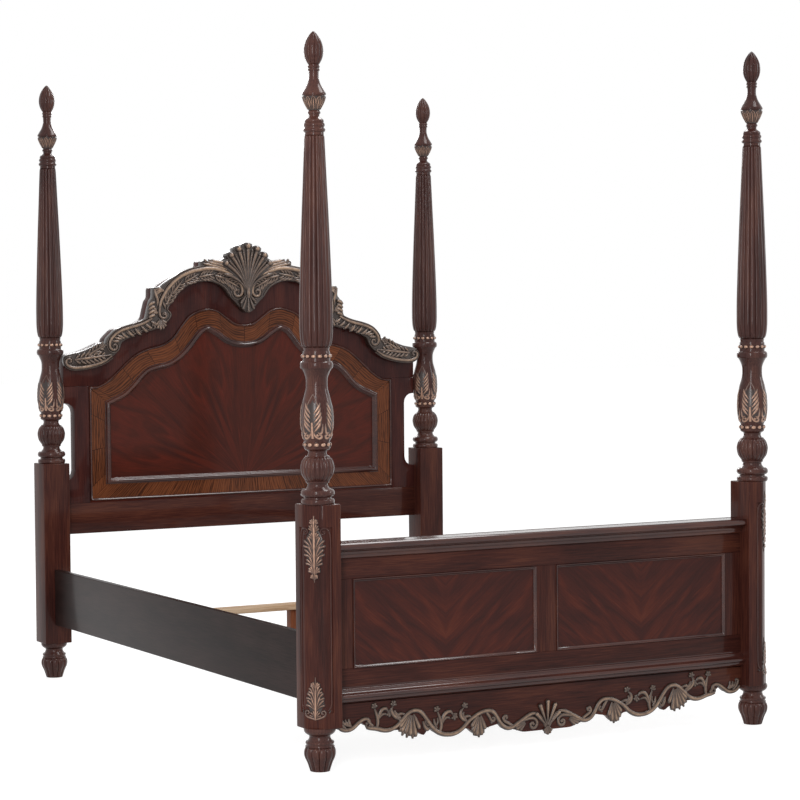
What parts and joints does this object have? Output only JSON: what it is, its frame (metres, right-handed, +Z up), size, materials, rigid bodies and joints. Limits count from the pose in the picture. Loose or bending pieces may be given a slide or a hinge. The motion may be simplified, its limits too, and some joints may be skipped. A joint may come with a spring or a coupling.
{
  "type": "four poster canopy bed",
  "caption": "Traditional four poster bed with reeded posts and urn finials, an arched carved headboard, a low panelled footboard with scrolled apron, side rails and slats.",
  "frame": {"origin": "on the floor, in the middle between the four posts", "axes": "+Z up, +Y towards the headboard, -Y towards the footboard, +X to the right seen from the foot end"},
  "size_m": [1.695, 2.282, 2.1956],
  "materials": {
    "lacquered_cherry": "dark reddish brown lacquer over cherry-coloured wood, semi-gloss",
    "matched_veneer": "matched cherry veneer under semi-gloss lacquer",
    "crossband_veneer": "striped orange-brown crossband veneer under semi-gloss lacquer",
    "gilt_carving": "umber-glazed carved wood with antique gold rubbed on the highs",
    "espresso_rail": "near-black brown lacquer, satin",
    "raw_pine": "planed pine, unfinished",
    "zinc_steel": "dull zinc-plated bed hardware"
  },
  "bodies": {
    "bedstead": {"head_left_lower_post": "lacquered_cherry", "head_left_upper_post": "lacquered_cherry", "head_left_post_stud": "zinc_steel", "head_right_lower_post": "lacquered_cherry", "head_right_upper_post": "lacquered_cherry", "head_right_post_stud": "zinc_steel", "foot_left_lower_post": "lacquered_cherry", "foot_left_upper_post": "lacquered_cherry", "foot_left_post_stud": "zinc_steel", "foot_right_lower_post": "lacquered_cherry", "foot_right_upper_post": "lacquered_cherry", "foot_right_post_stud": "zinc_steel", "left_side_rail": "espresso_rail", "left_ledger": "espresso_rail", "left_rail_head_hook": "zinc_steel", "left_rail_foot_hook": "zinc_steel", "right_side_rail": "espresso_rail", "right_ledger": "espresso_rail", "right_rail_head_hook": "zinc_steel", "right_rail_foot_hook": "zinc_steel", "headboard_bottom_rail": "lacquered_cherry", "headboard_left_stile": "lacquered_cherry", "headboard_right_stile": "lacquered_cherry", "headboard_top_rail": "lacquered_cherry", "headboard_field_panel": "matched_veneer", "headboard_crossband": "crossband_veneer", "headboard_inner_moulding": "lacquered_cherry", "headboard_outer_bead": "lacquered_cherry", "headboard_crown_carving_left": "gilt_carving", "headboard_crown_carving_right": "gilt_carving", "headboard_crest_shell": "gilt_carving", "footboard_bottom_rail": "lacquered_cherry", "footboard_top_rail": "lacquered_cherry", "footboard_left_stile": "lacquered_cherry", "footboard_right_stile": "lacquered_cherry", "footboard_mullion": "lacquered_cherry", "footboard_left_panel": "matched_veneer", "footboard_right_panel": "matched_veneer", "footboard_left_panel_bead": "lacquered_cherry", "footboard_right_panel_bead": "lacquered_cherry", "footboard_cap_rail": "lacquered_cherry", "footboard_base_moulding": "lacquered_cherry", "footboard_apron": "lacquered_cherry", "footboard_apron_scroll_left": "gilt_carving", "footboard_apron_scroll_right": "gilt_carving", "footboard_apron_shell": "gilt_carving", "foot_left_drop_leaf": "gilt_carving", "foot_left_base_leaf": "gilt_carving", "foot_right_drop_leaf": "gilt_carving", "foot_right_base_leaf": "gilt_carving"},
    "finial_head_left": {"head_left_finial": "gilt_carving"},
    "finial_head_right": {"head_right_finial": "gilt_carving"},
    "finial_foot_left": {"foot_left_finial": "gilt_carving"},
    "finial_foot_right": {"foot_right_finial": "gilt_carving"},
    "slat_head": {"head_slat": "raw_pine", "head_centre_leg": "lacquered_cherry"},
    "slat_middle": {"middle_slat": "raw_pine", "middle_centre_leg": "lacquered_cherry"},
    "slat_foot": {"foot_slat": "raw_pine", "foot_centre_leg": "lacquered_cherry"}
  },
  "joints": [
    {"name": "lift_finial_head_left", "type": "slide", "parent": "bedstead", "child": "finial_head_left", "axis": [0, 0, 1], "range_m": [0, 0.06]},
    {"name": "lift_finial_head_right", "type": "slide", "parent": "bedstead", "child": "finial_head_right", "axis": [0, 0, 1], "range_m": [0, 0.06]},
    {"name": "lift_finial_foot_left", "type": "slide", "parent": "bedstead", "child": "finial_foot_left", "axis": [0, 0, 1], "range_m": [0, 0.06]},
    {"name": "lift_finial_foot_right", "type": "slide", "parent": "bedstead", "child": "finial_foot_right", "axis": [0, 0, 1], "range_m": [0, 0.06]},
    {"name": "lift_slat_head", "type": "slide", "parent": "bedstead", "child": "slat_head", "axis": [0, 0, 1], "range_m": [0, 0.18]},
    {"name": "lift_slat_middle", "type": "slide", "parent": "bedstead", "child": "slat_middle", "axis": [0, 0, 1], "range_m": [0, 0.18]},
    {"name": "lift_slat_foot", "type": "slide", "parent": "bedstead", "child": "slat_foot", "axis": [0, 0, 1], "range_m": [0, 0.18]}
  ]
}
